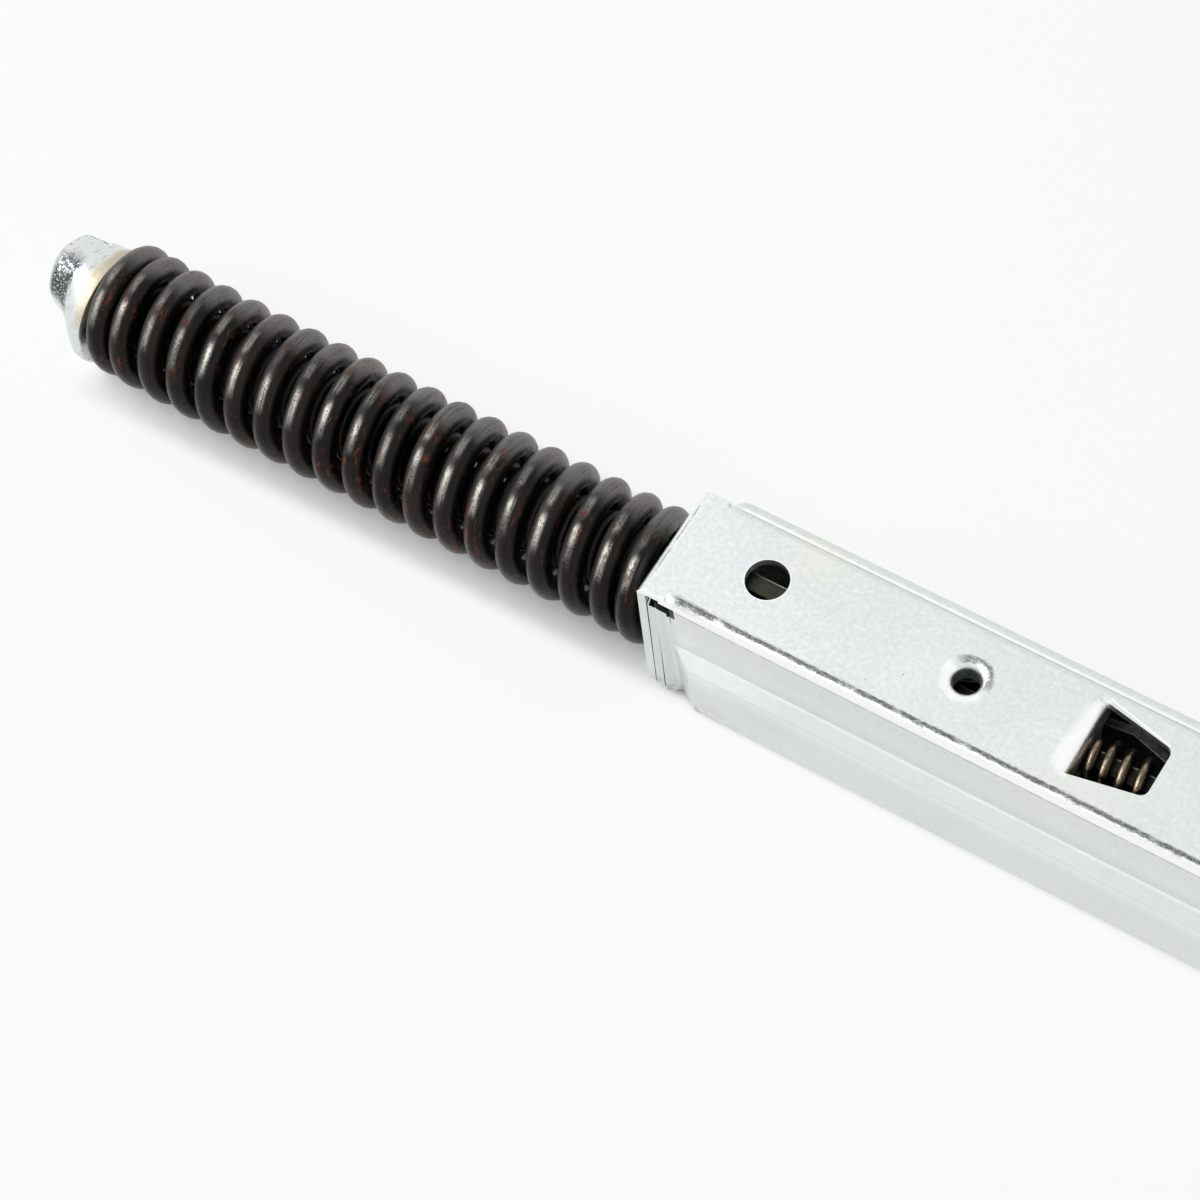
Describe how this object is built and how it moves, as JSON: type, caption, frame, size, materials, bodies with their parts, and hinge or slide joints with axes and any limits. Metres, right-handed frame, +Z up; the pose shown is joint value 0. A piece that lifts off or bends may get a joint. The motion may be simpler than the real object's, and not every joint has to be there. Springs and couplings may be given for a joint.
{
  "type": "oven door hinge",
  "caption": "Oven door hinge: folded channel with an outside compression spring, pull bar, cam lever with hook, roller and safety latch.",
  "frame": {"origin": "centre of the plain locating hole, on the top face of the channel's web", "axes": "+X along the channel towards the lever's end, +Y towards the far side wall, +Z up out of the web; the mechanism's middle plane is y = 0"},
  "size_m": [0.3078, 0.0261, 0.1107],
  "materials": {
    "zinc_sheet": "zinc plated, satin",
    "bright_zinc": "zinc plated, bright",
    "oiled_spring_wire": "dark oil-tempered",
    "bronzed_spring_wire": "drawn wire, straw tinted",
    "bar_steel": "oiled",
    "rivet_steel": "zinc plated",
    "hardened_steel": "ground",
    "lever_steel": "zinc plated",
    "bush_bronze": "sintered, oiled"
  },
  "bodies": {
    "channel": {"channel": "zinc_sheet", "pivot_pin": "rivet_steel", "pivot_bush_near": "rivet_steel", "pivot_bush_far": "rivet_steel", "main_spring": "oiled_spring_wire", "helper_spring": "bronzed_spring_wire", "inner_spring": "oiled_spring_wire"},
    "pull_bar": {"pull_bar": "bar_steel", "spring_seat": "bright_zinc", "strap_near": "zinc_sheet", "strap_far": "zinc_sheet", "strap_rivet_front": "rivet_steel", "strap_rivet_rear": "rivet_steel", "helper_washer": "rivet_steel", "roller_pin": "rivet_steel", "roller_washer_near": "rivet_steel", "roller_washer_far": "rivet_steel"},
    "roller": {"roller": "hardened_steel"},
    "lever": {"lever_plate_near": "lever_steel", "cam_plate": "lever_steel", "lever_plate_far": "lever_steel", "lever_bush": "bush_bronze", "lever_rivet_inner": "rivet_steel", "lever_rivet_outer": "rivet_steel", "latch_pin": "rivet_steel"},
    "latch": {"latch": "zinc_sheet"}
  },
  "joints": [
    {"name": "lever_swing", "type": "hinge", "parent": "channel", "child": "lever", "pos_m": [0.125, 0, -0.0176], "axis": [0, 1, 0], "range_deg": [0, 90], "stiffness_Nm_per_rad": 2.65, "springref_deg": -55.58},
    {"name": "pull_slide", "type": "slide", "parent": "channel", "child": "pull_bar", "axis": [1, 0, 0], "range_m": [0, 0.016], "deforming": ["main_spring", "inner_spring", "helper_spring"]},
    {"name": "roller_spin", "type": "hinge", "parent": "pull_bar", "child": "roller", "pos_m": [0.1405, 0, -0.0176], "axis": [0, 1, 0], "continuous": true},
    {"name": "latch_swing", "type": "hinge", "parent": "lever", "child": "latch", "pos_m": [0.113, 0, 0.0544], "axis": [0, 1, 0], "range_deg": [0, 115]}
  ],
  "couplings": [
    {"joint": "pull_slide", "follows": "lever_swing", "m_per_rad": 0.010185}
  ]
}
